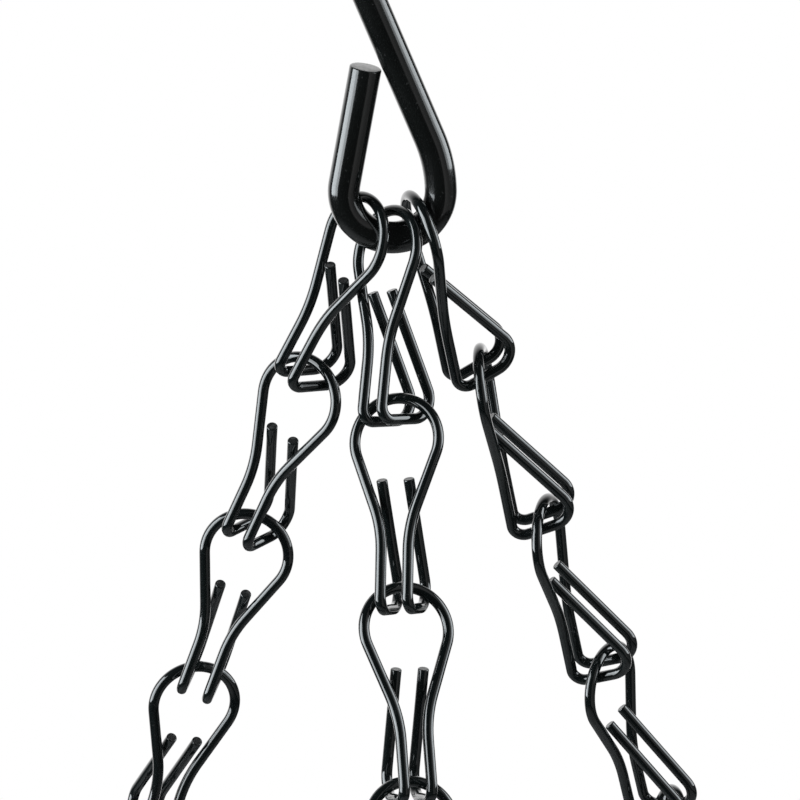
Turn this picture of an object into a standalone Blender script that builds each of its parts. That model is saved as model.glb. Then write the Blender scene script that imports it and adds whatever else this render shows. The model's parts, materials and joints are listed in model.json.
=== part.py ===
"""A metal hanging basket: a hook, three chains of bent-wire links and a round wire basket.

Units are metres and +Z is up. The origin is the hang point, the inside top of the hook's
upper bend. The hook lies in the XZ plane and the front chain hangs towards -Y. Every piece
is drawn wire, so nearly every shape is a centreline with a round section.
"""

import math
from dataclasses import dataclass

import bpy
import numpy as np
from mathutils import Matrix, Vector

# Clearance left between pieces that touch
GAP = 0.0003

# Hook: radii and lengths along its centreline, leans in degrees from the vertical
HOOK_WIRE = 0.0053
EYE_RADIUS = 0.0079
EYE_SIDE_RADIUS = 0.0248
EYE_LEG_LEAN = 12.1
SHANK_LEAN = 21.1
HANG_RADIUS = 0.0160
HOOK_TIP = 0.0080
HOOK_TIP_LEAN = 14.0

# Chain link: one wire with a pear-shaped loop on top and two folded hooks below
LINK_WIRE = 0.00185
LOOP_RADIUS = 0.0071
SHOULDER_LEAN = 20.0
NECK_RADIUS = 0.0215
NECK_HALF = 0.0023
LINK_DROP = 0.0352
HEEL_RADIUS = 0.0020
HOOK_BASE = 0.0050
BASE_RISE = 13.0
TOE_RADIUS = 0.0035
RETURN_RUN = 0.0175
RETURN_LEAN = 34.0
SEAT_SHARE = 0.7

# Basket: radii and depths of the wire centrelines, depths below the rim
LINKS_PER_CHAIN = 10
RIM_RADIUS = 0.1215
RIM_WIRE = 0.0040
HOOP_WIRE = 0.0030
RIB_WIRE = 0.0025
UPPER_HOOP_DEPTH = 0.0430
LOWER_HOOP_DEPTH = 0.0860
BASKET_DEPTH = 0.1250
BASE_FLAT_RADIUS = 0.0400
BASE_RING_RADIUS = 0.0360
RIB_COUNT = 12
RIB_OVERHANG = 0.0030

# Facets: sides of a wire's section, and steps along its bends
HOOK_SIDES = 12
LINK_SIDES = 6
RIM_SIDES = 8
HOOP_SIDES = 6
HOOK_STEP = 15.0
LOOP_STEPS = 10
CORNER_STEPS = 2
RING_STEPS = 36
RIB_STEPS = (2, 2, 3)

# Settling: rounds over all the chains, and halvings of a link's free travel
SETTLE_ROUNDS = 3
SETTLE_HALVINGS = 14
PARALLEL_SHARE = 1e-9


@dataclass
class Chain:
    """Where a chain hangs: angles in degrees, seen from above or round the hook's eye."""

    name: str
    azimuth: float
    eye_angle: float
    tip_back: float
    seen_turns: tuple
    belly_out: bool


# The top links' turns are as photographed; the rest ease round to the rim.
CHAINS = (
    Chain("left", 150.0, -50.7, 3.5, (61.3, 37.0, 9.5, -15.0), True),
    Chain("front", -90.0, -2.5, 21.7, (46.3, 16.0, -14.0), False),
    Chain("right", 30.0, 65.0, -6.0, (72.0, 94.0, 106.5, 122.0), True),
)

# Finishes: base colour, roughness and metallic value of each black lacquered wire
FINISHES = {
    "hook": ((0.012, 0.013, 0.012, 1.0), 0.24, 0.0),
    "link": ((0.010, 0.011, 0.010, 1.0), 0.18, 0.0),
    "basket": ((0.013, 0.014, 0.013, 1.0), 0.28, 0.0),
}


class Route:
    """A flat centreline drawn from a point by straight runs and bends.

    Points are (across, up) pairs. The heading is in radians from up, towards across.
    """

    def __init__(self, across, up, heading):
        self.points = [Vector((across, up))]
        self.heading = heading

    def ahead(self, heading):
        return Vector((math.sin(heading), math.cos(heading)))

    def straight(self, length):
        self.points.append(self.points[-1] + self.ahead(self.heading) * length)
        return self

    def bend(self, radius, turn, steps):
        """Turn by an angle, positive towards across, and return the bend's centre."""
        side = math.copysign(1.0, turn)
        inward = self.ahead(self.heading + side * math.pi / 2)
        centre = self.points[-1] + inward * radius
        for step in range(1, steps + 1):
            heading = self.heading + turn * step / steps
            self.points.append(centre - self.ahead(heading + side * math.pi / 2) * radius)
        self.heading += turn
        return centre


def lacquer(name, kind):
    """The black finish of one kind of wire."""
    colour, roughness, metallic = FINISHES[kind]
    material = bpy.data.materials.new(name)
    material.use_nodes = True
    shader = material.node_tree.nodes["Principled BSDF"]
    shader.inputs["Base Color"].default_value = colour
    shader.inputs["Roughness"].default_value = roughness
    shader.inputs["Metallic"].default_value = metallic
    material.diffuse_color = colour
    return material


def wire_curve(name, points, diameter, sides, material, closed=False):
    """A round wire along a list of points, with flat cut ends unless it is closed."""
    curve = bpy.data.curves.new(name, "CURVE")
    curve.dimensions = "3D"
    curve.bevel_depth = diameter / 2
    curve.bevel_resolution = sides // 2 - 2
    curve.use_fill_caps = True
    spline = curve.splines.new("POLY")
    spline.points.add(len(points) - 1)
    for spot, point in zip(spline.points, points):
        spot.co = (*point, 1.0)
    spline.use_cyclic_u = closed
    spline.use_smooth = True
    curve.materials.append(material)
    return curve


def place(name, curve, matrix, collection, pivot):
    """Put one piece in the collection, carried by the empty that it moves with."""
    piece = bpy.data.objects.new(name, curve)
    collection.objects.link(piece)
    piece.parent = pivot
    piece.matrix_parent_inverse = pivot.matrix_basis.inverted()
    piece.matrix_basis = matrix
    return piece


def hook_route():
    """The hook's centreline in (x, z), and the middle of its eye, both from the hang point."""
    leg_lean = math.radians(EYE_LEG_LEAN)
    shank_lean = math.radians(SHANK_LEAN)
    step = math.radians(HOOK_STEP)
    eye_turn = math.pi + leg_lean
    route = Route(-EYE_RADIUS * math.cos(leg_lean), EYE_RADIUS * math.sin(leg_lean), eye_turn)
    leg_foot = route.points[0].copy()
    route.bend(EYE_RADIUS, -eye_turn, round(eye_turn / step))
    route.bend(EYE_SIDE_RADIUS, -shank_lean, round(shank_lean / step) + 1)

    # The shank runs far enough for the hang point to stand above the middle of the eye.
    reach = route.points[-1].x + HANG_RADIUS * math.cos(shank_lean)
    route.straight(reach / math.sin(shank_lean))
    shank_top = route.points[-1].copy()
    hang_turn = math.pi + shank_lean - math.radians(HOOK_TIP_LEAN)
    hang_centre = route.bend(HANG_RADIUS, hang_turn, round(hang_turn / step))
    route.straight(HOOK_TIP)

    # The closing leg stops where its cut end comes a gap short of the shank.
    to_leg = Vector((-math.cos(shank_lean), -math.sin(shank_lean)))
    across = (leg_foot - shank_top).dot(to_leg)
    between = leg_lean + shank_lean
    clear = HOOK_WIRE / 2 * (1 + math.cos(between)) + GAP
    leg = (across - clear) / math.sin(between)
    leg_top = leg_foot + Vector((math.sin(leg_lean), math.cos(leg_lean))) * leg
    hang_point = Vector((0.0, hang_centre.y + HANG_RADIUS - HOOK_WIRE / 2))
    points = [point - hang_point for point in [leg_top] + route.points]
    return points, -hang_point


def link_half():
    """One side of a link from its apex to a cut end, in (x, y, z), apex at the origin.

    The loop lies in the XZ plane and the folded hook in a plane of constant x, its belly
    towards +Y.
    """
    lean = math.radians(SHOULDER_LEAN)
    loop = Route(0.0, 0.0, math.pi / 2)
    loop.bend(LOOP_RADIUS, math.pi / 2 + lean, LOOP_STEPS // 2)
    inset = LOOP_RADIUS * math.cos(lean) - NECK_HALF - NECK_RADIUS * (1 - math.cos(lean))
    loop.straight(inset / math.sin(lean))
    loop.bend(NECK_RADIUS, -lean, 1)

    rise = math.radians(BASE_RISE)
    heel_turn = math.pi / 2 + rise
    toe_turn = math.pi / 2 - rise + math.radians(RETURN_LEAN)
    heel_top = -LINK_DROP + HEEL_RADIUS * math.tan(heel_turn / 2)
    hook = Route(0.0, heel_top, math.pi)
    hook.bend(HEEL_RADIUS, -heel_turn, CORNER_STEPS)
    hook.straight(HOOK_BASE)
    hook.bend(TOE_RADIUS, -toe_turn, CORNER_STEPS + 1)
    hook.straight(RETURN_RUN)
    upper = [Vector((point.x, 0.0, point.y)) for point in loop.points]
    lower = [Vector((NECK_HALF, point.x, point.y)) for point in hook.points]
    return upper + lower


def seat_on_base(offset):
    """A point (y, z) in a link, this far above the seat on its hook's straight base."""
    rise = math.radians(BASE_RISE)
    to_seat = HEEL_RADIUS * math.tan((math.pi / 2 + rise) / 2) + HOOK_BASE * SEAT_SHARE
    along = Vector((math.cos(rise), math.sin(rise)))
    above = Vector((-math.sin(rise), math.cos(rise)))
    return Vector((0.0, -LINK_DROP)) + along * to_seat + above * offset


def link_seat():
    """Where the next link's apex rests: its arc touches both hooks a little below the apex."""
    arc_sag = LOOP_RADIUS - math.sqrt(LOOP_RADIUS ** 2 - NECK_HALF ** 2)
    return seat_on_base(LINK_WIRE + GAP + arc_sag)


def pull_tilt():
    """How far a link's legs lean back from the line of pull, in radians."""
    seat = link_seat()
    return math.atan2(seat.x, -seat.y)


def rim_seat():
    """Where the rim's centre lies along the last link's line of pull, from its apex."""
    rise = math.radians(BASE_RISE)
    to_base = LINK_DROP * math.cos(rise) - (LINK_WIRE + RIM_WIRE) / 2 - GAP
    return to_base / math.cos(pull_tilt() - rise)


def eye_seat(chain, eye_low):
    """The apex of a chain's first link, resting over the wire of the hook's eye."""
    round_eye = math.radians(chain.eye_angle)
    back = math.radians(chain.tip_back)
    inward = Vector((-math.sin(round_eye), 0.0, math.cos(round_eye)))
    middle = eye_low + Vector((0.0, 0.0, EYE_RADIUS))
    wire = middle - inward * EYE_RADIUS
    off = inward * math.cos(back) + Vector((0.0, math.sin(back), 0.0))
    return wire + off * ((HOOK_WIRE + LINK_WIRE) / 2 + GAP)


def outward(azimuth):
    """The level direction that points away from the basket's middle at an azimuth."""
    angle = math.radians(azimuth)
    return Vector((math.cos(angle), math.sin(angle), 0.0))


def rim_centre(seats, reaches):
    """The middle of the level rim, where all three chains are taut."""
    first, second, third = (seat - outward(chain.azimuth) * RIM_RADIUS
                            for chain, seat in zip(CHAINS, seats))
    along = (second - first).normalized()
    apart = (second - first).length
    step = along.dot(third - first)
    side = (third - first - along * step).normalized()
    depth = side.dot(third - first)
    near, far, last = (reach ** 2 for reach in reaches)
    x = (near - far + apart ** 2) / (2 * apart)
    y = (near - last + step ** 2 + depth ** 2) / (2 * depth) - step / depth * x
    normal = along.cross(side)
    fall = math.sqrt(near - x ** 2 - y ** 2)
    low = math.copysign(1.0, -normal.z)
    return first + along * x + side * y + normal * (fall * low)


def link_turns(chain):
    """The turn of each link's belly from +Y towards +X, in degrees, down one chain."""
    out = outward(chain.azimuth)
    if not chain.belly_out:
        out = -out
    last = math.degrees(math.atan2(out.x, out.y))
    turns = list(chain.seen_turns)
    start = turns[-1]
    eased = LINKS_PER_CHAIN - len(turns)
    for count in range(1, eased + 1):
        turns.append(start + (last - start) * count / eased)
    return turns


def link_matrix(apex, pull, turn):
    """The place of a link whose apex and line of pull are known."""
    up = -pull
    level = Vector((math.sin(turn), math.cos(turn), 0.0))
    belly = (level - up * level.dot(up)).normalized()
    across = belly.cross(up)
    facing = Matrix((across, belly, up)).transposed().to_4x4()
    return Matrix.Translation(apex) @ facing @ Matrix.Rotation(-pull_tilt(), 4, "X")


def segments(points, matrix=None):
    """The ends of a centreline's runs as two arrays, placed by a matrix if one is given."""
    spots = points if matrix is None else [matrix @ point for point in points]
    ends = np.array([tuple(spot) for spot in spots])
    return ends[:-1], ends[1:]


def least_distance(path, other):
    """The least distance between the runs of two centrelines."""
    start, other_start = path[0][:, None], other[0][None]
    run, other_run = path[1][:, None] - start, other[1][None] - other_start
    offset = start - other_start
    own, far = (run * run).sum(-1), (other_run * other_run).sum(-1)
    cross = (run * other_run).sum(-1)
    lead, trail = (run * offset).sum(-1), (other_run * offset).sum(-1)
    spread = own * far - cross ** 2
    flat = spread < own * far * PARALLEL_SHARE
    share = np.where(flat, 0.0, (cross * trail - far * lead) / np.where(flat, 1.0, spread))
    share = np.clip(share, 0.0, 1.0)
    other_share = np.clip((cross * share + trail) / far, 0.0, 1.0)
    share = np.clip((cross * other_share - lead) / own, 0.0, 1.0)
    other_share = np.clip((cross * share + trail) / far, 0.0, 1.0)
    apart = offset + share[..., None] * run - other_share[..., None] * other_run
    return math.sqrt((apart ** 2).sum(-1).min())


def settled(apex, pull, turn, link_path, support, clear):
    """Lower a link along its pull until it rests this far above its support."""
    high, low = -LINK_WIRE, LINK_WIRE
    for _ in range(SETTLE_HALVINGS):
        middle = (high + low) / 2
        path = segments(link_path, link_matrix(apex + pull * middle, pull, turn))
        if least_distance(path, support) < clear:
            low = middle
        else:
            high = middle
    return apex + pull * high


def hang_chain(chain, eye_low, eye_path, rim_point, link_path):
    """The apex of each link down a chain, each settled on what carries it."""
    apex = eye_seat(chain, eye_low)
    pull = (rim_point - apex).normalized()
    turns = [math.radians(turn) for turn in link_turns(chain)]
    on_eye = (HOOK_WIRE + LINK_WIRE) / 2 + GAP
    apex = settled(apex, pull, turns[0], link_path, eye_path, on_eye)
    apexes = [apex]
    for above, turn in zip(turns, turns[1:]):
        support = segments(link_path, link_matrix(apex, pull, above))
        apex = settled(apex + pull * link_seat().length, pull, turn, link_path, support,
                       LINK_WIRE + GAP)
        apexes.append(apex)
    return apexes


def hang_all(eye_low, eye_path, link_path):
    """Every chain's apexes, and the middle of the rim that hangs from all three."""
    seats = [eye_seat(chain, eye_low) for chain in CHAINS]
    reaches = [link_seat().length * (LINKS_PER_CHAIN - 1) + rim_seat()] * len(CHAINS)
    for _ in range(SETTLE_ROUNDS):
        centre = rim_centre(seats, reaches)
        rim_points = [centre + outward(chain.azimuth) * RIM_RADIUS for chain in CHAINS]
        chains = [hang_chain(chain, eye_low, eye_path, rim_point, link_path)
                  for chain, rim_point in zip(CHAINS, rim_points)]
        seats = [apexes[0] for apexes in chains]
        reaches = [(apexes[-1] - apexes[0]).length + rim_seat() for apexes in chains]
    return chains, rim_centre(seats, reaches)


def build_chain(chain, apexes, rim_point, curve, collection, pivot):
    """The links of one chain, taut between the eye and the rim."""
    pull = (rim_point - apexes[0]).normalized()
    for count, (apex, turn) in enumerate(zip(apexes, link_turns(chain))):
        spot = apexes[0] + pull * (apex - apexes[0]).length
        name = f"{chain.name}_link_{count + 1:02d}"
        place(name, curve, link_matrix(spot, pull, math.radians(turn)), collection, pivot)


def bowl_point(angle):
    """Radius, height and outward normal of the ribs' centreline, down from the rim."""
    spread = RIM_RADIUS - (RIM_WIRE + RIB_WIRE) / 2 - GAP - BASE_FLAT_RADIUS
    across, down = math.cos(angle), math.sin(angle)
    spot = Vector((BASE_FLAT_RADIUS + spread * across, -BASKET_DEPTH * down))
    return spot, Vector((across / spread, -down / BASKET_DEPTH)).normalized()


def bowl_angle(depth):
    return math.asin(depth / BASKET_DEPTH)


def first_rib_angle():
    """The azimuth of the first rib, half a spacing round from the first chain."""
    return math.radians(CHAINS[0].azimuth) + math.pi / RIB_COUNT


def ring_points(radius, height):
    """A level ring whose corners start at the first rib, so every rib meets one."""
    angles = [first_rib_angle() + math.tau * step / RING_STEPS for step in range(RING_STEPS)]
    return [Vector((radius * math.cos(angle), radius * math.sin(angle), height))
            for angle in angles]


def hoop_points(depth):
    """A hoop that lies against the outside of the ribs at a depth of their centreline."""
    spot, normal = bowl_point(bowl_angle(depth))
    spot += normal * ((HOOP_WIRE + RIB_WIRE) / 2 + GAP)
    return ring_points(spot.x, spot.y)


def base_ring_points():
    """The ring that carries the flat ends of the ribs from below."""
    return ring_points(BASE_RING_RADIUS, -BASKET_DEPTH - (HOOP_WIRE + RIB_WIRE) / 2 - GAP)


def rib_points():
    """A rib in the XZ plane, from above the rim down and in to the flat of the base.

    Its bends have corners where the hoops lie against it.
    """
    stops = (0.0, bowl_angle(UPPER_HOOP_DEPTH), bowl_angle(LOWER_HOOP_DEPTH), math.pi / 2)
    spots = [bowl_point(0.0)[0]]
    for start, end, steps in zip(stops, stops[1:], RIB_STEPS):
        for step in range(1, steps + 1):
            spots.append(bowl_point(start + (end - start) * step / steps)[0])
    spots.insert(0, Vector((spots[0].x, RIM_WIRE / 2)))
    spots.append(Vector((BASE_RING_RADIUS - RIB_OVERHANG, -BASKET_DEPTH)))
    return [Vector((spot.x, 0.0, spot.y)) for spot in spots]


def build_basket(centre, collection, pivot):
    """The rim, two hoops, the base ring and the ribs, all round the rim's middle."""
    at_rim = Matrix.Translation(centre)
    rings = (
        ("rim", ring_points(RIM_RADIUS, 0.0), RIM_WIRE, RIM_SIDES),
        ("upper_hoop", hoop_points(UPPER_HOOP_DEPTH), HOOP_WIRE, HOOP_SIDES),
        ("lower_hoop", hoop_points(LOWER_HOOP_DEPTH), HOOP_WIRE, HOOP_SIDES),
        ("base_ring", base_ring_points(), HOOP_WIRE, HOOP_SIDES),
    )
    for name, points, diameter, sides in rings:
        ring = wire_curve(name, points, diameter, sides, lacquer(name, "basket"), True)
        place(name, ring, at_rim, collection, pivot)
    rib = wire_curve("rib", rib_points(), RIB_WIRE, LINK_SIDES, lacquer("rib", "basket"))
    for count in range(RIB_COUNT):
        facing = Matrix.Rotation(first_rib_angle() + math.tau * count / RIB_COUNT, 4, "Z")
        place(f"rib_{count + 1:02d}", rib, at_rim @ facing, collection, pivot)


def build_hook(collection):
    """The hook, its centreline, and the empty in the eye's middle that the rest swings about."""
    points, eye_middle = hook_route()
    path = [Vector((point.x, 0.0, point.y)) for point in points]
    curve = wire_curve("hook", path, HOOK_WIRE, HOOK_SIDES, lacquer("hook", "hook"))
    hook = bpy.data.objects.new("hook", curve)
    collection.objects.link(hook)
    pivot = bpy.data.objects.new("swing_axis", None)
    pivot.matrix_basis = Matrix.Translation((eye_middle.x, 0.0, eye_middle.y))
    collection.objects.link(pivot)
    return path, pivot


def main():
    for old in list(bpy.data.objects):
        bpy.data.objects.remove(old)
    collection = bpy.data.collections.new("metal_hanging_basket")
    bpy.context.scene.collection.children.link(collection)
    hook_path, pivot = build_hook(collection)

    half = link_half()
    link_path = [Vector((-point.x, point.y, point.z)) for point in reversed(half)] + half[1:]
    eye_low = pivot.matrix_basis.translation - Vector((0.0, 0.0, EYE_RADIUS))
    chains, centre = hang_all(eye_low, segments(hook_path), link_path)
    for chain, apexes in zip(CHAINS, chains):
        link = wire_curve(f"{chain.name}_link", link_path, LINK_WIRE, LINK_SIDES,
                          lacquer(f"{chain.name}_link", "link"))
        rim_point = centre + outward(chain.azimuth) * RIM_RADIUS
        build_chain(chain, apexes, rim_point, link, collection, pivot)
    build_basket(centre, collection, pivot)


main()
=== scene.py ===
"""A black lacquered hanging basket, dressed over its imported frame.

The wires are bent again here as fine round wires, in the order in which a wire bender would
form them, and each one stands where the coarser wire of the frame stands. Units are metres,
+Z is up, and the origin is the hang point under the hook's upper bend.
"""

import json
import logging
import math
from dataclasses import dataclass, field
from enum import Enum

import bmesh
import bpy
from mathutils import Matrix, Vector

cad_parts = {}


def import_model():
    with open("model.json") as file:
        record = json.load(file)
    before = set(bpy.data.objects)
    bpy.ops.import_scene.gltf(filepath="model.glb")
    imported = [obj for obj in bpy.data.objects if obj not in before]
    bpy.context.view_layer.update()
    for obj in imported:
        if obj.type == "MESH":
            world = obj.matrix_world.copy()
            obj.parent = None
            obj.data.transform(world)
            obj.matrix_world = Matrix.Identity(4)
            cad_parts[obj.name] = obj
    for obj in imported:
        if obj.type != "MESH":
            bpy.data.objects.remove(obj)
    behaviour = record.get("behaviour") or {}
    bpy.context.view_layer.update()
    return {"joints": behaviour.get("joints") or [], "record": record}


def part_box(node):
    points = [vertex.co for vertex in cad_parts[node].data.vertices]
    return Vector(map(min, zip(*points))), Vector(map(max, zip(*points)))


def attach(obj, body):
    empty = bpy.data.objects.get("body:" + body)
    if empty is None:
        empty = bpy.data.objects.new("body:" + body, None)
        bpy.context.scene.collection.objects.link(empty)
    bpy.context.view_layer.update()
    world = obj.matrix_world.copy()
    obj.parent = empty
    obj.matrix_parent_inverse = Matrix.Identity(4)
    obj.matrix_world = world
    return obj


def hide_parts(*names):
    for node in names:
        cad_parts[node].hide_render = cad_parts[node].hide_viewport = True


LOG = logging.getLogger("hanging_basket")
IMAGE_SIDE = 800
SENSOR_WIDTH = 36.0
UP = Vector((0.0, 0.0, 1.0))
ACROSS = Vector((1.0, 0.0, 0.0))
BEHIND = Vector((0.0, 1.0, 0.0))
WHITE = (1.0, 1.0, 1.0, 1.0)
NOISE_MIDDLE = 0.5

Colour = tuple[float, float, float, float]
Span = tuple[float, float]
Ring = list[bmesh.types.BMEdge]
Verts = list[bmesh.types.BMVert]
Finishes = list[bpy.types.Material]


class Opens(Enum):
    """Which way the folded hooks of a chain's last link open at the rim."""

    OUTWARD = 1.0
    INWARD = -1.0


class Socket:
    """A shader value that adds Math nodes when it is used in a Python expression."""

    def __init__(self, shader: "Shader", value: bpy.types.NodeSocket) -> None:
        """Keep the shader that holds the nodes, and the link itself."""
        self.shader = shader
        self.value = value

    def join(self, operation: str, *values: object) -> "Socket":
        """Add one Math node.

        Args:
            operation: The Math node's operation.
            values: Its inputs, as sockets or numbers.

        Returns:
            The node's result.
        """
        inputs = dict(enumerate(values))
        return self.shader.out("ShaderNodeMath", 0, {"operation": operation}, inputs)

    def __add__(self, other: object) -> "Socket":
        """self + other."""
        return self.join("ADD", self, other)

    def __radd__(self, other: object) -> "Socket":
        """other + self."""
        return self.join("ADD", other, self)

    def __sub__(self, other: object) -> "Socket":
        """self - other."""
        return self.join("SUBTRACT", self, other)

    def __rsub__(self, other: object) -> "Socket":
        """other - self."""
        return self.join("SUBTRACT", other, self)

    def __mul__(self, other: object) -> "Socket":
        """self * other."""
        return self.join("MULTIPLY", self, other)

    def __rmul__(self, other: object) -> "Socket":
        """other * self."""
        return self.join("MULTIPLY", other, self)


class Shader:
    """A node tree that is built by short calls."""

    def __init__(self, tree: bpy.types.NodeTree) -> None:
        """Empty the tree and start afresh."""
        self.tree = tree
        tree.nodes.clear()

    def node(self, kind: str, settings: dict[str, object] | None = None,
             inputs: dict[str | int, object] | None = None) -> bpy.types.Node:
        """Add any node.

        Args:
            kind: The node's type name.
            settings: Its properties.
            inputs: Values or links by the name or number of the node's sockets.

        Returns:
            The new node.
        """
        made = self.tree.nodes.new(kind)
        for name, value in (settings or {}).items():
            setattr(made, name, value)
        for name, value in (inputs or {}).items():
            value = value.value if isinstance(value, Socket) else value
            if isinstance(value, bpy.types.NodeSocket):
                self.tree.links.new(value, made.inputs[name])
            else:
                made.inputs[name].default_value = value
        return made

    def out(self, kind: str, name: str | int, settings: dict[str, object] | None = None,
            inputs: dict[str | int, object] | None = None) -> Socket:
        """Add a node and return one of its outputs, ready for an expression."""
        return Socket(self, self.node(kind, settings, inputs).outputs[name])

    def noise(self, place: Socket, scale: float, detail: float = 2.0) -> Socket:
        """Noise from 0 to 1 over a place, its scale in cells a metre."""
        return self.out("ShaderNodeTexNoise", 0, None,
                        {"Vector": place, "Scale": scale, "Detail": detail})

    def step(self, value: Socket, low: float, high: float) -> Socket:
        """Rise from 0 to 1 as a value goes from low to high, and stay within them."""
        return self.out("ShaderNodeMapRange", 0, {"interpolation_type": "SMOOTHSTEP"},
                        {"Value": value, "From Min": low, "From Max": high})

    def blend(self, factor: Socket, first: object, second: object) -> Socket:
        """Mix two colours."""
        return self.out("ShaderNodeMix", 2, {"data_type": "RGBA"},
                        {0: factor, 6: first, 7: second})

    def level_axes(self, place: Socket) -> tuple[Socket, Socket]:
        """The X and Y of a place."""
        parts = self.node("ShaderNodeSeparateXYZ", None, {0: place}).outputs
        return Socket(self, parts["X"]), Socket(self, parts["Y"])

    def rays(self) -> tuple[Socket, Socket]:
        """1 for the camera's own rays, and 1 for those that a glossy surface sends out."""
        path = self.node("ShaderNodeLightPath").outputs
        return Socket(self, path["Is Camera Ray"]), Socket(self, path["Is Glossy Ray"])


def start_material(name: str) -> tuple[bpy.types.Material, Shader]:
    """Make an empty material.

    Args:
        name: The material's name.

    Returns:
        The material, and the shader that fills it.
    """
    material = bpy.data.materials.new(name)
    material.use_nodes = True
    return material, Shader(material.node_tree)


@dataclass(frozen=True)
class Lacquer:
    """Black lacquer on drawn wire, with the marks that bending and handling leave.

    Attributes:
        name: The material's name.
        colour: The lacquer where it is deepest.
        dull: The lacquer where it has clouded.
        rubbed: What dust, scratches and rubbed places show.
        gloss: The roughness of the lacquer under its clear skin.
        spread: How much that roughness drifts.
        cells: The skin's ripples in a metre. The other marks are measured by them.
        peel: The ripples' depth.
        scuffs: How strong the scratches are.
        grain: How strong the finer grain on the ripples is.
        dust: How strong the motes of dust are.
        skin: The clear skin's roughness.
        flecks: How much of the skin's shine the flecks take.
    """

    name: str
    colour: Colour = (0.0036, 0.0044, 0.0042, 1.0)
    dull: Colour = (0.0070, 0.0080, 0.0077, 1.0)
    rubbed: Colour = (0.050, 0.052, 0.052, 1.0)
    gloss: float = 0.15
    spread: float = 0.10
    cells: float = 420.0
    peel: float = 0.000016
    scuffs: float = 0.5
    grain: float = 0.2
    dust: float = 0.4
    skin: float = 0.05
    flecks: float = 0.15

    # Each mark's noise, as its cells to one ripple and its detail, and the scale along the
    # axes that draws the streaks out.
    CLOUD, RIPPLE, SPECK = (1 / 5, 2.0), (1, 1.0), (6, 2.0)
    STREAK, PATCH, MOTE, FLECK = (4, 3.0), (1 / 3, 4.0), (5, 0.0), (9, 2.0)
    DRAWN_OUT = (1.0, 1.0, 0.12)

    # The part of each noise over which its mark sets in.
    PATCH_SPAN = (0.60, 0.72)
    STREAK_SPAN = (0.62, 0.70)
    MOTE_SPAN = (0.79, 0.83)
    RUB_SPAN = (0.45, 0.90)
    FLECK_SPAN = (0.47, 0.60)
    FLECK_CLOUD_SPAN = (0.34, 0.60)

    # What the marks do to the colour, the roughness, the relief and the skin.
    RUB_LEAST, RUB_CLOUD = 0.6, 0.8
    SCRATCH_TONE, RUB_TONE = 0.35, 0.5
    SPECK_ROUGH, SCRATCH_ROUGH, RUB_ROUGH, MOTE_ROUGH, FLECK_ROUGH = 0.04, 0.22, 0.25, 0.3, 0.5
    SCRATCH_DEPTH, RELIEF = 0.5, 0.3
    MOTE_SKIN, SPECULAR = 0.5, 0.5

    def mark(self, shader: Shader, place: Socket, kind: Span) -> Socket:
        """The noise of one kind of mark over a place."""
        return shader.noise(place, self.cells * kind[0], kind[1])

    def build(self) -> bpy.types.Material:
        """Make the material.

        Returns:
            The finished material.
        """
        material, shader = start_material(self.name)
        place = shader.out("ShaderNodeTexCoord", "Object")
        drawn = shader.out("ShaderNodeMapping", 0, None,
                           {"Vector": place, "Scale": self.DRAWN_OUT})
        cloud = self.mark(shader, place, self.CLOUD)
        ripple = self.mark(shader, place, self.RIPPLE)
        speck = self.mark(shader, place, self.SPECK)
        patch = shader.step(self.mark(shader, place, self.PATCH), *self.PATCH_SPAN)
        scratch = shader.step(self.mark(shader, drawn, self.STREAK), *self.STREAK_SPAN)
        scratch = scratch * patch * self.scuffs
        mote = shader.step(self.mark(shader, place, self.MOTE), *self.MOTE_SPAN) * self.dust
        fleck = shader.step(self.mark(shader, place, self.FLECK), *self.FLECK_SPAN)
        fleck = fleck * shader.step(cloud, *self.FLECK_CLOUD_SPAN) * self.flecks
        rub = shader.out("ShaderNodeAttribute", "Fac", {"attribute_name": "rub"})
        rubbed = shader.step(rub * (self.RUB_LEAST + self.RUB_CLOUD * cloud), *self.RUB_SPAN)
        tone = shader.blend(cloud, self.colour, self.dull)
        marks = self.SCRATCH_TONE * scratch + self.RUB_TONE * rubbed + mote
        rough = (self.gloss + self.spread * (cloud - NOISE_MIDDLE)
                 + self.SPECK_ROUGH * (speck - NOISE_MIDDLE)
                 + self.SCRATCH_ROUGH * scratch + self.RUB_ROUGH * rubbed
                 + self.MOTE_ROUGH * mote + self.FLECK_ROUGH * fleck)
        relief = ripple + self.grain * speck - self.SCRATCH_DEPTH * scratch + mote
        bump = shader.node("ShaderNodeBump", None, {
            "Strength": self.RELIEF, "Distance": self.peel, "Height": relief})
        shell = shader.node("ShaderNodeBsdfPrincipled", None, {
            "Base Color": shader.blend(marks, tone, self.rubbed), "Roughness": rough,
            "Normal": bump.outputs[0], "Specular IOR Level": self.SPECULAR,
            "Coat Weight": 1.0 - fleck - self.MOTE_SKIN * mote, "Coat Roughness": self.skin})
        shader.node("ShaderNodeOutputMaterial", None, {"Surface": shell.outputs[0]})
        return material


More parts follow.
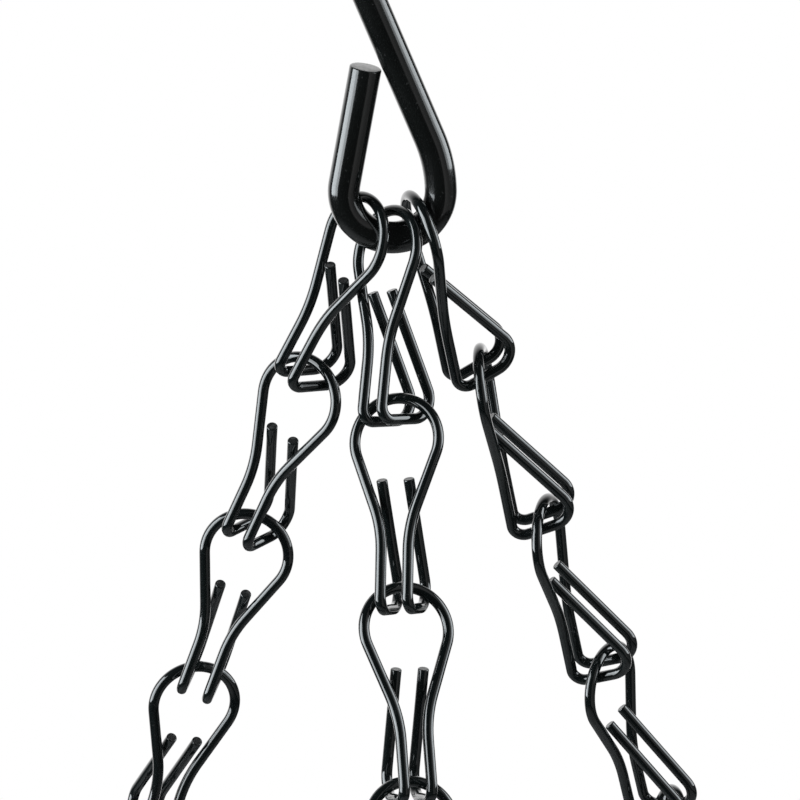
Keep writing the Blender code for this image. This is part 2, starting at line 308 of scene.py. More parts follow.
@dataclass(frozen=True)
class CutEnd:
    """The sheared end of a wire, under a thin and uneven coat of the lacquer.

    Attributes:
        name: The material's name.
        colour: The lacquered steel.
        bare: The steel where the lacquer is thinnest.
        share: How much of the end is nearly bare.
        cells: The shear lines in a metre.
    """

    name: str
    colour: Colour = (0.020, 0.021, 0.021, 1.0)
    bare: Colour = (0.42, 0.42, 0.41, 1.0)
    share: float = 0.6
    cells: float = 1500.0

    # The lines run along X, and the bare spots are twice as large as the lines are wide.
    SHEARED, LINE_DETAIL = (0.2, 1.0, 1.0), 3.0
    SPOTS = 1 / 2
    SPOT_START, SPOT_SHARE, SPOT_END = 0.62, 0.4, 0.75
    SPOT_LEAST, SPOT_LINES = 0.4, 0.6
    ROUGH_LEAST, ROUGH_LINES = 0.30, 0.25
    METAL = 0.6
    RELIEF, DEPTH, SPOT_DEPTH = 0.5, 0.00006, 0.5
    SKIN, SKIN_ROUGH = 0.8, 0.12

    def build(self) -> bpy.types.Material:
        """Make the material.

        Returns:
            The finished material.
        """
        material, shader = start_material(self.name)
        place = shader.out("ShaderNodeTexCoord", "Object")
        sheared = shader.out("ShaderNodeMapping", 0, None,
                             {"Vector": place, "Scale": self.SHEARED})
        lines = shader.noise(sheared, self.cells, self.LINE_DETAIL)
        spots = shader.step(shader.noise(place, self.cells * self.SPOTS),
                            self.SPOT_START - self.SPOT_SHARE * self.share, self.SPOT_END)
        spots = spots * self.share
        shine = spots * (self.SPOT_LEAST + self.SPOT_LINES * lines)
        bump = shader.node("ShaderNodeBump", None, {
            "Strength": self.RELIEF, "Distance": self.DEPTH,
            "Height": lines + self.SPOT_DEPTH * spots})
        shell = shader.node("ShaderNodeBsdfPrincipled", None, {
            "Base Color": shader.blend(shine, self.colour, self.bare),
            "Roughness": self.ROUGH_LEAST + self.ROUGH_LINES * lines,
            "Normal": bump.outputs[0], "Metallic": self.METAL * spots,
            "Coat Weight": self.SKIN, "Coat Roughness": self.SKIN_ROUGH})
        shader.node("ShaderNodeOutputMaterial", None, {"Surface": shell.outputs[0]})
        return material


class WireBender:
    """A round wire in a bmesh, fed and bent like stock in a wire bender."""

    # Rings round a sheared end's edge, and how worn the lacquer is there.
    ROUND_STEPS = 4
    END_RUB = 0.5
    # Width and depth of the step that the shear leaves in an end, to the wire's diameter.
    INSET, SINK = 0.12, 0.012

    def __init__(self, diameter: float, sides: int, spot: Vector, heading: Vector,
                 rounding: float = 0.0002) -> None:
        """Start the wire.

        Args:
            diameter: The wire's diameter.
            sides: Sides of its section.
            spot: Where its centreline starts.
            heading: The direction in which it is fed.
            rounding: How round the lacquer leaves the edge of a sheared end.
        """
        self.mesh = bmesh.new()
        self.rub = self.mesh.verts.layers.float.new("rub")
        self.diameter = diameter
        self.rounding = rounding
        self.spot = spot.copy()
        self.heading = heading.normalized()
        facing = self.heading.to_track_quat("Z", "Y").to_matrix().to_4x4()
        bmesh.ops.create_circle(self.mesh, radius=diameter / 2, segments=sides,
                                matrix=Matrix.Translation(spot) @ facing)
        self.ring = list(self.mesh.edges)
        self.first_ring = list(self.ring)

    def verts_of(self, ring: Ring) -> Verts:
        """The vertices of a ring, each once."""
        return list(dict.fromkeys(vert for edge in ring for vert in edge.verts))

    def extrude(self, ring: Ring) -> tuple[Ring, Verts]:
        """Extrude a ring in place.

        Args:
            ring: The ring's edges.

        Returns:
            The new ring's edges and its vertices.
        """
        made = bmesh.ops.extrude_edge_only(self.mesh, edges=ring)["geom"]
        verts = [item for item in made if isinstance(item, bmesh.types.BMVert)]
        edges = [item for item in made if isinstance(item, bmesh.types.BMEdge)
                 and all(end in verts for end in item.verts)]
        return edges, verts

    def feed(self, length: float, steps: int) -> None:
        """Feed the wire straight on.

        Args:
            length: How far.
            steps: Rings along the way.
        """
        move = self.heading * (length / steps)
        for _ in range(steps):
            self.ring, verts = self.extrude(self.ring)
            bmesh.ops.translate(self.mesh, verts=verts, vec=move)
            self.spot += move

    def bend(self, radius: float, angle: float, towards: Vector, steps: int) -> None:
        """Bend the wire.

        Args:
            radius: The bend's radius on the centreline.
            angle: How far it turns, in radians.
            towards: The direction of the bend's centre, square to the heading.
            steps: Rings along the bend.
        """
        centre = self.spot + towards * radius
        axis = self.heading.cross(towards).normalized()
        made = bmesh.ops.spin(self.mesh, geom=self.ring + self.verts_of(self.ring), cent=centre,
                              axis=axis, angle=angle, steps=steps, use_duplicate=False)
        self.ring = [item for item in made["geom_last"] if isinstance(item, bmesh.types.BMEdge)]
        turn = Matrix.Rotation(angle, 3, axis)
        self.spot = centre + turn @ (self.spot - centre)
        self.heading = turn @ self.heading

    def follow(self, points: list[Vector]) -> None:
        """Feed the wire along a smooth list of points.

        Args:
            points: The centreline's points. The first is where the wire is.
        """
        stops = points[1:]
        for count, point in enumerate(stops):
            after = stops[min(count + 1, len(stops) - 1)]
            heading = (after - points[count]).normalized()
            turn = self.heading.rotation_difference(heading).to_matrix().to_4x4()
            move = Matrix.Translation(point) @ turn @ Matrix.Translation(-self.spot)
            self.ring, verts = self.extrude(self.ring)
            bmesh.ops.transform(self.mesh, matrix=move, verts=verts)
            self.spot = point.copy()
            self.heading = heading

    def cut(self, ring: Ring, centre: Vector, outward: Vector) -> None:
        """Close a ring as a sheared end whose edge is rounded by the lacquer.

        Args:
            ring: The ring's edges.
            centre: The middle of the end.
            outward: The direction that the end faces.
        """
        bead, size = self.rounding, self.diameter / 2
        bmesh.ops.translate(self.mesh, vec=-outward * bead, verts=self.verts_of(ring))
        about = Matrix.Translation(outward * bead - centre)
        width = size
        for step in range(1, self.ROUND_STEPS + 1):
            turn = math.pi / 2 * step / self.ROUND_STEPS
            ring, verts = self.extrude(ring)
            narrower = size - bead * (1 - math.cos(turn))
            bmesh.ops.scale(self.mesh, vec=(narrower / width,) * 3, space=about, verts=verts)
            middle = sum((vert.co for vert in verts), Vector()) / len(verts)
            lift = bead * math.sin(turn) - bead - (middle - centre).dot(outward)
            bmesh.ops.translate(self.mesh, vec=outward * lift, verts=verts)
            width = narrower
            for vert in verts:
                vert[self.rub] = self.END_RUB
        cap = bmesh.ops.edgeloop_fill(self.mesh, edges=ring)["faces"]
        inner = bmesh.ops.inset_region(
            self.mesh, faces=cap, thickness=self.diameter * self.INSET,
            depth=self.diameter * self.SINK, use_even_offset=True)["faces"]
        for face in list(inner) + list(cap):
            face.material_index = 1

    def cut_last(self) -> None:
        """Shear the wire off where the bender has come to."""
        self.cut(self.ring, self.spot, self.heading)

    def cut_first(self, spot: Vector, heading: Vector) -> None:
        """Shear the wire's start, given its place and the direction of its first feed."""
        self.cut(self.first_ring, spot, -heading)

    def wear(self, spot: Vector, reach: float, amount: float) -> None:
        """Mark the lacquer as rubbed round a spot, less and less out to its reach.

        Args:
            spot: Where it is rubbed most.
            reach: How far the wear goes.
            amount: How worn it is at the spot, from 0 to 1.
        """
        for vert in self.mesh.verts:
            near = 1 - (vert.co - spot).length / reach
            if near > 0:
                vert[self.rub] = max(vert[self.rub], amount * near)


def to_piece(mesh: bmesh.types.BMesh, name: str, materials: Finishes) -> bpy.types.Object:
    """Make a finished bmesh an object at the origin.

    Args:
        mesh: The bmesh, which is freed.
        name: The piece's name.
        materials: Its materials, by the faces' index.

    Returns:
        The new object.
    """
    bmesh.ops.recalc_face_normals(mesh, faces=mesh.faces)
    for face in mesh.faces:
        face.smooth = True
    data = bpy.data.meshes.new(name)
    mesh.to_mesh(data)
    mesh.free()
    for material in materials:
        data.materials.append(material)
    piece = bpy.data.objects.new(name, data)
    bpy.context.scene.collection.objects.link(piece)
    return piece


def centre_of(node: str) -> Vector:
    """The middle of a CAD node's box."""
    low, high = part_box(node)
    return (low + high) / 2


def seat_at(mesh: bmesh.types.BMesh, node: str) -> None:
    """Move a wire so that its box has the same middle as the CAD node that it replaces.

    Args:
        mesh: The wire.
        node: The CAD node's name.
    """
    low = Vector(min(vert.co[axis] for vert in mesh.verts) for axis in range(3))
    high = Vector(max(vert.co[axis] for vert in mesh.verts) for axis in range(3))
    bmesh.ops.translate(mesh, verts=mesh.verts, vec=centre_of(node) - (low + high) / 2)


@dataclass
class Hook:
    """The S-shaped hook with its closed eye, bent in the XZ plane.

    Attributes:
        wire: The wire's diameter.
        eye_radius: The radius of the eye's round bottom, on the centreline.
        eye_side_radius: The radius of the eye's side below the shank.
        leg_lean: How far the closing leg leans over towards the shank.
        shank_lean: How far the shank leans over towards the leg.
        hang_radius: The radius of the open bend on top.
        tip: The straight end after that bend.
        tip_lean: How far the tip falls short of pointing down.
        gap: What is left between the leg's end and the shank.
        worn: How rubbed the eye is where the chains hang.
        rounding: The rounding of the sheared edges.
        sides: The sides of the wire's section.
        ring_step: The turn between two rings of a bend.
        leg_rings: Rings along the leg.
        side_rings: Rings along the eye's side.
        shank_rings: Rings along the shank.
        tip_rings: Rings along the tip.
    """

    wire: float = 0.0053
    eye_radius: float = 0.0079
    eye_side_radius: float = 0.0248
    leg_lean: float = math.radians(11.5)
    shank_lean: float = math.radians(21.1)
    hang_radius: float = 0.0160
    tip: float = 0.0080
    tip_lean: float = math.radians(14.0)
    gap: float = 0.0001
    worn: float = 0.75
    rounding: float = 0.00026
    sides: int = 40
    ring_step: float = math.radians(3.0)
    leg_rings: int = 6
    side_rings: int = 10
    shank_rings: int = 12
    tip_rings: int = 3

    def heading(self, lean: float) -> Vector:
        """The direction in the hook's plane at an angle from up towards +X."""
        return Vector((math.sin(lean), 0.0, math.cos(lean)))

    def foot(self) -> Vector:
        """Where the closing leg meets the eye's round bottom, from the eye's middle."""
        lean = self.leg_lean
        return Vector((-math.cos(lean), 0.0, math.sin(lean))) * self.eye_radius

    def shank(self) -> float:
        """The shank's length, at which the hang point stands over the middle of the eye."""
        side = self.eye_radius - self.eye_side_radius * (1 - math.cos(self.shank_lean))
        return (side + self.hang_radius * math.cos(self.shank_lean)) / math.sin(self.shank_lean)

    def leg(self) -> float:
        """Find how long the closing leg is when its cut end comes a gap short of the shank.

        Returns:
            The leg's length.
        """
        side, back = self.eye_side_radius, -self.shank_lean
        top = Vector((self.eye_radius - side, 0.0, 0.0)) + Vector(
            (math.cos(back), 0.0, -math.sin(back))) * side
        to_leg = self.heading(back - math.pi / 2)
        between = self.leg_lean + self.shank_lean
        clear = self.wire / 2 * (1 + math.cos(between)) + self.gap
        return ((self.foot() - top).dot(to_leg) - clear) / math.sin(between)

    def bend_wire(self) -> WireBender:
        """Bend the hook about the middle of its eye, from the closing leg's end to the tip.

        Returns:
            The finished wire.
        """
        foot, down = self.foot(), self.heading(math.pi + self.leg_lean)
        start = foot - down * self.leg()
        wire = WireBender(self.wire, self.sides, start, down, self.rounding)
        wire.feed(self.leg(), self.leg_rings)
        turn = math.pi + self.leg_lean
        wire.bend(self.eye_radius, turn, -foot.normalized(), round(turn / self.ring_step))
        wire.bend(self.eye_side_radius, self.shank_lean, -ACROSS, self.side_rings)
        wire.feed(self.shank(), self.shank_rings)
        turn = math.pi + self.shank_lean - self.tip_lean
        over = self.heading(math.pi / 2 - self.shank_lean)
        wire.bend(self.hang_radius, turn, over, round(turn / self.ring_step))
        wire.feed(self.tip, self.tip_rings)
        wire.cut_last()
        wire.cut_first(start, down)
        wire.wear(UP * (self.wire / 2 - self.eye_radius), self.wire, self.worn)
        return wire

    def dress(self, eye: Vector, finishes: Finishes) -> None:
        """Make the hook and put it in the frame.

        Args:
            eye: The middle of its eye.
            finishes: The lacquer and the cut ends' finish.
        """
        wire = self.bend_wire()
        bmesh.ops.translate(wire.mesh, verts=wire.mesh.verts, vec=eye)
        piece = to_piece(wire.mesh, "hook_wire", finishes)
        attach(piece, "hook")
        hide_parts("hook")
        LOG.info("hook_wire: %d faces", len(piece.data.polygons))


@dataclass
class Link:
    """One chain link: a pear-shaped loop on top and two folded hooks below.

    Attributes:
        wire: The wire's diameter.
        loop_radius: The loop's radius on the centreline.
        shoulder_lean: How far the sides lean in below the loop.
        neck_radius: The radius of the bend at the waist.
        neck_half: Half the distance between the legs.
        drop: The height from the loop's top to the corner of the heels.
        heel_radius: The radius of the bend from the legs into the folded bases.
        base: The straight part of a folded base.
        base_rise: How far a base rises from its heel.
        toe_radius: The radius of the bend from the bases into the returns.
        return_run: The straight part of a return.
        return_lean: How far the returns lean back to the legs.
        seat_share: How far along the base the next loop hangs.
        gap: What is left between two links where they touch.
        worn: How rubbed the loop is where it hangs.
        wear_reach: How far that wear goes, in wire diameters.
        sides: The sides of the wire's section.
        merge: How close two vertices on the mirror's plane are to become one.
    """

    wire: float = 0.00185
    loop_radius: float = 0.0071
    shoulder_lean: float = math.radians(20.0)
    neck_radius: float = 0.0215
    neck_half: float = 0.0023
    drop: float = 0.0352
    heel_radius: float = 0.0020
    base: float = 0.0050
    base_rise: float = math.radians(13.0)
    toe_radius: float = 0.0035
    return_run: float = 0.0175
    return_lean: float = math.radians(34.0)
    seat_share: float = 0.7
    gap: float = 0.0003
    worn: float = 0.7
    wear_reach: float = 1.6
    sides: int = 20
    merge: float = 0.00001

    # Rings along each part of half a link, from its top to its end.
    LOOP_RINGS, SHOULDER_RINGS, NECK_RINGS, LEG_RINGS = 24, 2, 8, 5
    HEEL_RINGS, BASE_RINGS, TOE_RINGS, RETURN_RINGS = 12, 3, 16, 5

    def tilt(self) -> float:
        """Find how far a link's legs lean back from the line of pull.

        Returns:
            The angle in radians.
        """
        sag = self.loop_radius - math.sqrt(self.loop_radius ** 2 - self.neck_half ** 2)
        reach = self.heel_radius * math.tan((math.pi / 2 + self.base_rise) / 2)
        reach += self.base * self.seat_share
        above = self.wire + self.gap + sag
        rise = self.base_rise
        out = reach * math.cos(rise) - above * math.sin(rise)
        down = self.drop - reach * math.sin(rise) - above * math.cos(rise)
        return math.atan2(out, down)

    def bend_half(self) -> WireBender:
        """Bend half a link from its apex at the origin, and shear off its end.

        Returns:
            The finished half.
        """
        lean = self.shoulder_lean
        inset = self.loop_radius * math.cos(lean) - self.neck_half
        inset -= self.neck_radius * (1 - math.cos(lean))
        wire = WireBender(self.wire, self.sides, Vector(), ACROSS)
        wire.bend(self.loop_radius, math.pi / 2 + lean, -UP, self.LOOP_RINGS)
        wire.feed(inset / math.sin(lean), self.SHOULDER_RINGS)
        out = wire.heading.cross(BEHIND).normalized()
        wire.bend(self.neck_radius, lean, out if out.x > 0 else -out, self.NECK_RINGS)
        heel = math.pi / 2 + self.base_rise
        leg = wire.spot.z + self.drop - self.heel_radius * math.tan(heel / 2)
        wire.feed(leg, self.LEG_RINGS)
        wire.bend(self.heel_radius, heel, BEHIND, self.HEEL_RINGS)
        wire.feed(self.base, self.BASE_RINGS)
        toe = math.pi / 2 - self.base_rise + self.return_lean
        wire.bend(self.toe_radius, toe, ACROSS.cross(wire.heading), self.TOE_RINGS)
        wire.feed(self.return_run, self.RETURN_RINGS)
        wire.cut_last()
        wire.wear(-UP * self.wire / 2, self.wire * self.wear_reach, self.worn)
        return wire

    def mesh(self) -> bmesh.types.BMesh:
        """Mirror the half to the whole link.

        Returns:
            The link's bmesh.
        """
        made = self.bend_half().mesh
        bmesh.ops.mirror(made, geom=list(made.verts) + list(made.edges) + list(made.faces),
                         axis="X", merge_dist=self.merge)
        bmesh.ops.remove_doubles(made, verts=made.verts, dist=self.merge)
        return made


@dataclass
class Chain:
    """One chain of links between the hook's eye and the basket's rim.

    Attributes:
        name: The start of its nodes' names.
        azimuth: Where it meets the rim, in radians from +X.
        seen_turns: The turns of the first links, read off the photograph, in degrees.
        opens: Which way its last link opens.
        link: The link that it is made of.
        count: How many links it has.
    """

    name: str
    azimuth: float
    seen_turns: tuple[float, ...]
    opens: Opens
    link: Link = field(default_factory=Link)
    count: int = 10

    def turns(self) -> list[float]:
        """Ease the turns over from the links that the photograph shows to the last one.

        Returns:
            The turn of each link's belly from +Y towards +X, in degrees.
        """
        out = Vector((math.cos(self.azimuth), math.sin(self.azimuth), 0.0)) * self.opens.value
        last = math.degrees(math.atan2(out.x, out.y))
        turns = list(self.seen_turns)
        start, eased = turns[-1], self.count - len(turns)
        turns += [start + (last - start) * step / eased for step in range(1, eased + 1)]
        return turns

    def facing(self, pull: Vector, turn: float) -> Matrix:
        """Find how a link stands.

        Args:
            pull: The direction of its pull, downwards.
            turn: The turn of its belly, in radians.

        Returns:
            The link's rotation.
        """
        level = Vector((math.sin(turn), math.cos(turn), 0.0))
        belly = (level - pull * level.dot(pull)).normalized()
        across = belly.cross(-pull)
        columns = Matrix((across, belly, -pull)).transposed().to_4x4()
        return columns @ Matrix.Rotation(-self.link.tilt(), 4, "X")

    def dress(self, pull: Vector, bodies: dict[str, str], finishes: Finishes) -> None:
        """Make every link of the chain and put it in the frame.

        Args:
            pull: The chain's direction, from the eye to the rim.
            bodies: The body of each node by its name.
            finishes: The lacquer and the cut ends' finish.
        """
        for count, turn in enumerate(self.turns()):
            node = f"{self.name}_link_{count + 1:02d}"
            made = self.link.mesh()
            facing = self.facing(pull, math.radians(turn))
            bmesh.ops.transform(made, matrix=facing, verts=made.verts)
            seat_at(made, node)
            piece = to_piece(made, f"{node}_wire", finishes)
            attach(piece, bodies[node])
            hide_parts(node)
            LOG.info("%s: %d faces", piece.name, len(piece.data.polygons))


@dataclass
class Basket:
    """The welded wire basket: rim, hoops, base ring and ribs.

    Attributes:
        rim_radius: The rim's radius on its centreline, at height 0 until it is placed.
        rim_wire: The rim's wire.
        hoop_wire: The wire of the hoops and the base ring.
        rib_wire: The ribs' wire.
        upper_depth: The upper hoop's depth on the ribs' centreline.
        lower_depth: The lower hoop's depth there.
        depth: The ribs' depth.
        flat_radius: Where the ribs turn level.
        base_ring_radius: The base ring's radius.
        overhang: How far the ribs reach in past the base ring's centreline.
        ribs: How many ribs there are.
        first_rib: The first rib's place, in radians from +X.
        gap: What is left between two wires that are welded.
        steps: Rings along a whole turn of a ring.
        curve_steps: Rings along a rib's curve.
        rim_sides: The sides of the rim's section.
        hoop_sides: The sides of the hoops' section.
        rib_sides: The sides of the ribs' section.
        bead: Half the length, width and height of a bead of weld.
        bead_detail: How finely a bead is made.
        butt_flash: The thickness of a ring's butt weld, to its wire.
        butt_share: Half the length of that weld, to its wire.
    """

    rim_radius: float = 0.1215
    rim_wire: float = 0.0040
    hoop_wire: float = 0.0030
    rib_wire: float = 0.0025
    upper_depth: float = 0.0430
    lower_depth: float = 0.0860
    depth: float = 0.1250
    flat_radius: float = 0.0400
    base_ring_radius: float = 0.0360
    overhang: float = 0.0030
    ribs: int = 12
    first_rib: float = math.radians(165.0)
    gap: float = 0.0003
    steps: int = 144
    curve_steps: int = 48
    rim_sides: int = 24
    hoop_sides: int = 20
    rib_sides: int = 16
    bead: tuple[float, float, float] = (0.0012, 0.0014, 0.0006)
    bead_detail: int = 2
    butt_flash: float = 1.13
    butt_share: float = 0.22

    def bowl(self, angle: float) -> tuple[Vector, Vector]:
        """Find a place on the ribs' centreline, in the XZ plane.

        Args:
            angle: The place, from 0 at the rim to a quarter turn at the flat of the base.

        Returns:
            The place and the outward normal there.
        """
        outer = self.rim_radius - (self.rim_wire + self.rib_wire) / 2 - self.gap
        spread = outer - self.flat_radius
        across, down = math.cos(angle), math.sin(angle)
        spot = Vector((self.flat_radius + spread * across, 0.0, -self.depth * down))
        return spot, Vector((across / spread, 0.0, -down / self.depth)).normalized()

    def hoop_spot(self, depth: float) -> Vector:
        """The centreline of a hoop that lies on the ribs, in the XZ plane."""
        spot, normal = self.bowl(math.asin(depth / self.depth))
        return spot + normal * ((self.hoop_wire + self.rib_wire) / 2 + self.gap)

    def weld(self, made: bmesh.types.BMesh, spot: Vector, size: Vector, facing: Matrix) -> None:
        """Add a bead of weld to a mesh.

        Args:
            made: The mesh.
            spot: The bead's middle.
            size: Its half sizes along the axes of its facing.
            facing: How it is turned.
        """
        axes = Matrix.Translation(spot) @ facing.to_4x4() @ Matrix.Diagonal(size).to_4x4()
        bmesh.ops.create_icosphere(made, subdivisions=self.bead_detail, radius=1.0, matrix=axes)

    def ring(self, spot: Vector, wire: float, sides: int) -> bmesh.types.BMesh:
        """Bend a closed ring round the Z axis, butt-welded halfway between the first two ribs.

        Args:
            spot: Where its centreline crosses the XZ plane.
            wire: Its wire's diameter.
            sides: The sides of the wire's section.

        Returns:
            The ring's bmesh.
        """
        made = bmesh.new()
        made.verts.layers.float.new("rub")
        facing = Matrix.Translation(spot) @ Matrix.Rotation(math.pi / 2, 4, "X")
        bmesh.ops.create_circle(made, radius=wire / 2, segments=sides, matrix=facing)
        bmesh.ops.spin(made, geom=list(made.verts) + list(made.edges), cent=(0, 0, 0), axis=UP,
                       angle=math.tau, steps=self.steps, use_merge=True)
        turn = Matrix.Rotation(self.first_rib + math.pi / self.ribs, 3, "Z")
        flash = wire / 2 * self.butt_flash
        self.weld(made, turn @ spot, Vector((flash, wire * self.butt_share, flash)), turn)
        return made

    def contacts(self) -> list[tuple[Vector, Vector]]:
        """Find where a rib is welded to the four rings.

        Returns:
            Each place, and which way the rib faces there.
        """
        hoops = [math.asin(depth / self.depth) for depth in (self.upper_depth, self.lower_depth)]
        places = []
        for angle in (0.0, *hoops):
            spot, normal = self.bowl(angle)
            places.append((spot + normal * (self.rib_wire + self.gap) / 2, normal))
        under = -self.depth - (self.rib_wire + self.gap) / 2
        return places + [(Vector((self.base_ring_radius, 0.0, under)), -UP)]

    def rib(self) -> bmesh.types.BMesh:
        """Bend a rib in the XZ plane, from the height of the rim's top to the flat of the base.

        Returns:
            The rib's bmesh, with its welds.
        """
        quarter, steps = math.pi / 2, self.curve_steps
        curve = [self.bowl(quarter * step / steps)[0] for step in range(steps + 1)]
        start = curve[0] + UP * (self.rim_wire / 2)
        end = Vector((self.base_ring_radius - self.overhang, 0.0, -self.depth))
        wire = WireBender(self.rib_wire, self.rib_sides, start, -UP)
        wire.follow([start] + curve + [end])
        wire.cut_last()
        wire.cut_first(start, -UP)
        for spot, outward in self.contacts():
            facing = Matrix((outward.cross(BEHIND), BEHIND, outward)).transposed()
            self.weld(wire.mesh, spot, Vector(self.bead), facing)
        return wire.mesh

    def dress(self, finishes: Finishes) -> None:
        """Make the rings and ribs and put them in the frame.

        Args:
            finishes: The lacquer and the cut ends' finish.
        """
        drop = (self.hoop_wire + self.rib_wire) / 2 + self.gap
        base = Vector((self.base_ring_radius, 0.0, -self.depth - drop))
        rings = (
            ("rim", Vector((self.rim_radius, 0.0, 0.0)), self.rim_wire, self.rim_sides),
            ("upper_hoop", self.hoop_spot(self.upper_depth), self.hoop_wire, self.hoop_sides),
            ("lower_hoop", self.hoop_spot(self.lower_depth), self.hoop_wire, self.hoop_sides),
            ("base_ring", base, self.hoop_wire, self.hoop_sides),
        )
        where = Matrix.Translation(centre_of("rim"))
        for node, spot, wire, sides in rings:
            self.place(self.ring(spot, wire, sides), where, node, node, finishes)
        for count in range(self.ribs):
            turn = Matrix.Rotation(self.first_rib + math.tau * count / self.ribs, 4, "Z")
            self.place(self.rib(), where @ turn, f"rib_{count + 1:02d}", "rib", finishes)

    def place(self, made: bmesh.types.BMesh, where: Matrix, node: str, slot: str,
              finishes: Finishes) -> None:
        """Put one finished wire in the frame in place of its CAD node.

        Args:
            made: The wire.
            where: Its place and turn.
            node: The CAD node's name.
            slot: Its material slot in the record. It is not used.
            finishes: The lacquer and the cut ends' finish.
        """
        bmesh.ops.transform(made, matrix=where, verts=made.verts)
        piece = to_piece(made, f"{node}_wire", finishes)
        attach(piece, "basket")
        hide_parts(node)
        LOG.info("%s: %d faces", piece.name, len(piece.data.polygons))


@dataclass
class Camera:
    """The photograph's camera, fitted to the hook and the chains' links.

    Attributes:
        distance: How far ahead of it the target is.
        focal: The focal length in pixels.
        pitch: How far it looks down.
        roll: How far it leans to one side.
        shift_across: How far the target lies to the right of the picture's middle.
        shift_up: How far the target lies above the picture's middle.
        turn: How far it stands round the object.
        target: The lowest point of the eye's centreline.
        clip_start: The distance from which on it sees.
    """

    distance: float = 1.06793
    focal: float = 6540.4
    pitch: float = math.radians(18.4535)
    roll: float = math.radians(-1.4940)
    shift_across: float = -0.0010451
    shift_up: float = 0.0265542
    turn: float = math.radians(0.7783)
    target: Vector = field(default_factory=lambda: Vector((0.0, 0.0, -0.0907870)))
    clip_start: float = 0.01

    def build(self) -> None:
        """Make the camera and make it the scene's own."""
        about = Matrix.Rotation(-self.turn, 3, "Z")
        ahead = about @ Vector((0.0, math.cos(self.pitch), -math.sin(self.pitch)))
        right = about @ ACROSS
        up = about @ Vector((0.0, math.sin(self.pitch), math.cos(self.pitch)))
        across = right * math.cos(self.roll) + up * math.sin(self.roll)
        over = up * math.cos(self.roll) - right * math.sin(self.roll)
        spot = (self.target - across * self.shift_across - over * self.shift_up
                - ahead * self.distance)
        data = bpy.data.cameras.new("camera")
        data.sensor_width = SENSOR_WIDTH
        data.lens = self.focal / IMAGE_SIDE * SENSOR_WIDTH
        data.clip_start = self.clip_start
        camera = bpy.data.objects.new("camera", data)
        facing = Matrix((across, over, -ahead)).transposed().to_4x4()
        camera.matrix_world = Matrix.Translation(spot) @ facing
        bpy.context.scene.collection.objects.link(camera)
        bpy.context.scene.camera = camera


@dataclass(frozen=True)
class Softbox:
    """One upright area light.

    Attributes:
        name: The light's name.
        azimuth: Degrees from the camera's side (-Y) towards +X.
        low: Where its lower edge stands, in degrees over the aim.
        high: Where its upper edge stands, in degrees over the aim.
        width: Its width.
        power: Its power in watts.
    """

    name: str
    azimuth: float
    low: float
    high: float
    width: float
    power: float

    def build(self, aim: Vector, reach: float, tint: tuple[float, float, float]) -> None:
        """Hang the light.

        Args:
            aim: The place that it faces, at that place's own height.
            reach: How far it stands from there.
            tint: Its colour.
        """
        turn = math.radians(self.azimuth)
        away = Vector((math.sin(turn), -math.cos(turn), 0.0))
        foot, head = (reach * math.tan(math.radians(edge)) for edge in (self.low, self.high))
        data = bpy.data.lights.new(self.name, "AREA")
        data.shape = "RECTANGLE"
        data.size, data.size_y = self.width, head - foot
        data.energy = self.power
        data.color = tint
        light = bpy.data.objects.new(self.name, data)
        spot = aim + away * reach + UP * (foot + head) / 2
        facing = away.to_track_quat("Z", "Y").to_matrix().to_4x4()
        light.matrix_world = Matrix.Translation(spot) @ facing
        bpy.context.scene.collection.objects.link(light)


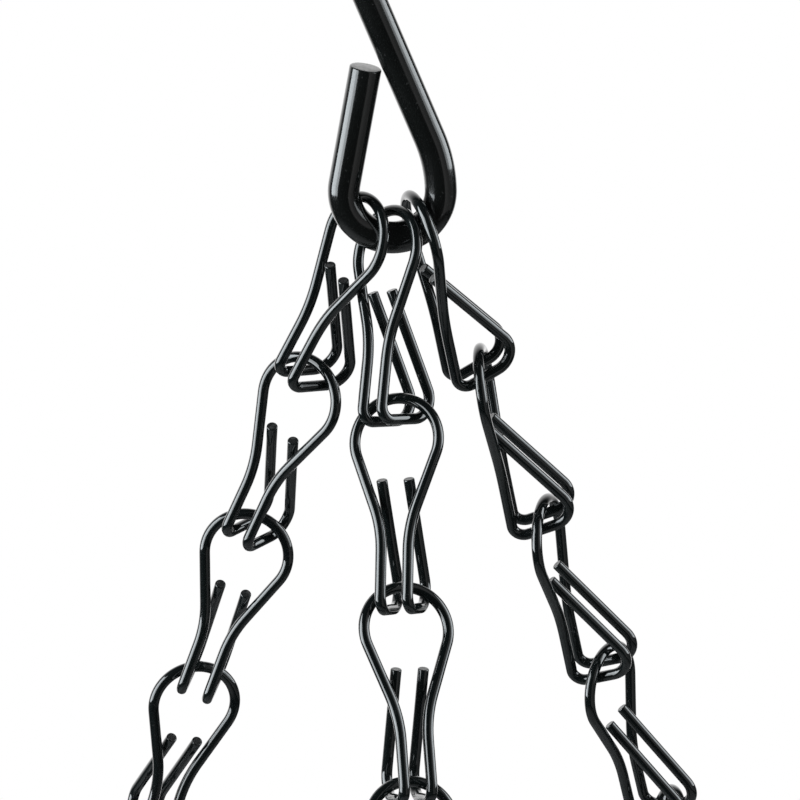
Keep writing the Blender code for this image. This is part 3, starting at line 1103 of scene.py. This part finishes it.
@dataclass
class Studio:
    """A soft box and its fill on either side, over a pale floor and before a white background.

    Attributes:
        floor_height: The floor's height.
        floor_radius: The floor's radius.
        floor_sides: The sides of its outline.
        reach: How far the lights stand from the chains.
        tint: Their colour.
        aim: The place that they face.
        softboxes: The lights.
    """

    floor_height: float = -0.64
    floor_radius: float = 0.85
    floor_sides: int = 96
    reach: float = 1.1
    tint: tuple[float, float, float] = (0.90, 0.965, 1.0)
    aim: Vector = field(default_factory=lambda: Vector((0.0, 0.0, -0.12)))
    softboxes: tuple[Softbox, ...] = (
        Softbox("left_softbox", -81.0, -14.0, 38.0, 0.64, 14.3),
        Softbox("left_fill", -56.5, -14.0, 38.0, 0.32, 4.5),
        Softbox("right_softbox", 98.0, -6.0, 40.0, 0.60, 7.5),
        Softbox("right_fill", 75.0, -6.0, 40.0, 0.30, 1.5),
    )

    # The white behind the object: the way it faces, and where it sets in.
    WHITE_RIGHT, WHITE_BACK = 0.17, 0.985
    WHITE_SPAN = (0.48, 0.88)
    # The pale panel on the right: where it sets in, how it fades, and its end at the back.
    PANEL_SPAN = (0.42, 0.52)
    PANEL_FADE_SPAN, PANEL_FADE = (0.50, 0.95), 0.6
    PANEL_END_SPAN = (0.0, 0.3)
    # How bright a glossy wire sees the dark room, the panel and the white, and how bright
    # everything else sees the room.
    DARK_LEVEL, PANEL_LEVEL, WHITE_LEVEL, ROOM_LEVEL = 0.012, 0.25, 0.98, 0.35
    # The squares of the radii between which the floor fades into the white background.
    FLOOR_FADE_SPAN = (0.04, 0.60)
    FLOOR_TONE, FLOOR_MIRRORED, FLOOR_SHADOW = 0.86, 0.20, 0.25

    def background(self) -> None:
        """White to the camera, white behind the object and dark before it in reflections."""
        world = bpy.data.worlds.new("studio")
        bpy.context.scene.world = world
        world.use_nodes = True
        shader = Shader(world.node_tree)
        right, back = shader.level_axes(shader.out("ShaderNodeTexCoord", "Generated"))
        white = shader.step(self.WHITE_BACK * back - self.WHITE_RIGHT * right, *self.WHITE_SPAN)
        fade = shader.step(right, *self.PANEL_FADE_SPAN) * self.PANEL_FADE
        panel = shader.step(right, *self.PANEL_SPAN) * (1 - fade)
        panel = self.PANEL_LEVEL * panel * (1 - shader.step(back, *self.PANEL_END_SPAN))
        mirrored = self.DARK_LEVEL + panel + self.WHITE_LEVEL * white
        camera, glossy = shader.rays()
        unseen = glossy * mirrored + (1 - glossy) * self.ROOM_LEVEL
        light = shader.node("ShaderNodeBackground", None, {
            "Color": WHITE, "Strength": camera + (1 - camera) * unseen})
        shader.node("ShaderNodeOutputWorld", None, {"Surface": light.outputs[0]})

    def floor(self) -> None:
        """A pale round floor under the basket, which fades into the white background."""
        made = bmesh.new()
        bmesh.ops.create_circle(made, cap_ends=True, radius=self.floor_radius,
                                segments=self.floor_sides,
                                matrix=Matrix.Translation((0.0, 0.0, self.floor_height)))
        material, shader = start_material("floor")
        east, north = shader.level_axes(shader.out("ShaderNodeTexCoord", "Object"))
        near = 1 - shader.step(east * east + north * north, *self.FLOOR_FADE_SPAN)
        camera, glossy = shader.rays()
        darker = glossy * (self.FLOOR_TONE - self.FLOOR_MIRRORED * near)
        matt = shader.node("ShaderNodeBsdfDiffuse", None, {"Color": self.FLOOR_TONE - darker})
        white = shader.node("ShaderNodeEmission", None, {"Color": WHITE, "Strength": 1.0})
        both = shader.node("ShaderNodeMixShader", None, {
            0: camera * (1 - near * self.FLOOR_SHADOW), 1: matt.outputs[0], 2: white.outputs[0]})
        shader.node("ShaderNodeOutputMaterial", None, {"Surface": both.outputs[0]})
        floor = to_piece(made, "floor", [material])

    def build(self) -> None:
        """Make the background, the floor and the lights."""
        self.background()
        self.floor()
        for softbox in self.softboxes:
            softbox.build(self.aim, self.reach, self.tint)


HOOK_LACQUER = Lacquer("hook_lacquer", peel=0.00003, grain=0.5, flecks=0.2)
# The hook's cut end has a paler lacquer colour and more bare steel than the chains' ends. This
# is partly the real sheared steel and partly a painted reflection of the white background that
# lightens the end.
HOOK_CUT_END_WITH_PAINTED_REFLECTION = CutEnd("hook_cut_end", colour=(0.10, 0.102, 0.102, 1.0), share=0.75)
CHAIN_LACQUER = Lacquer(
    "chain_lacquer", colour=(0.0034, 0.0052, 0.0054, 1.0), dull=(0.0066, 0.0088, 0.0090, 1.0),
    gloss=0.08, spread=0.06, peel=0.000004, skin=0.03, flecks=0.1)
CHAIN_CUT_END = CutEnd("chain_cut_end", share=0.3)
BASKET_LACQUER = Lacquer("basket_lacquer", gloss=0.2)
CHAINS = (
    Chain("left", math.radians(150.0), (61.3, 37.0, 9.5, -15.0), Opens.OUTWARD),
    Chain("front", math.radians(-90.0), (46.3, 16.0, -14.0), Opens.INWARD),
    Chain("right", math.radians(30.0), (72.0, 94.0, 106.5, 122.0), Opens.OUTWARD),
)


def main() -> None:
    """Build the object's classes in order and report each piece."""
    scene = bpy.context.scene
    scene.view_settings.view_transform = "Standard"
    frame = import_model()
    Camera().build()
    Studio().build()
    record = frame["record"]["behaviour"]["bodies"]
    bodies = {node: body for body, nodes in record.items() for node in nodes}
    joints = {joint["name"]: joint for joint in frame["joints"]}
    eye = Vector(joints["basket_swing"]["pos_m"])
    Hook().dress(eye, [HOOK_LACQUER.build(), HOOK_CUT_END_WITH_PAINTED_REFLECTION.build()])
    lacquer, cut_end = CHAIN_LACQUER.build(), CHAIN_CUT_END.build()
    for chain in CHAINS:
        pull = Vector(joints[f"{chain.name}_link_05_twist"]["axis"]).normalized()
        chain.dress(pull, bodies, [lacquer, cut_end])
    Basket().dress([BASKET_LACQUER.build(), cut_end])


if __name__ == "__main__":
    logging.basicConfig(level=logging.INFO, format="%(message)s")
    main()
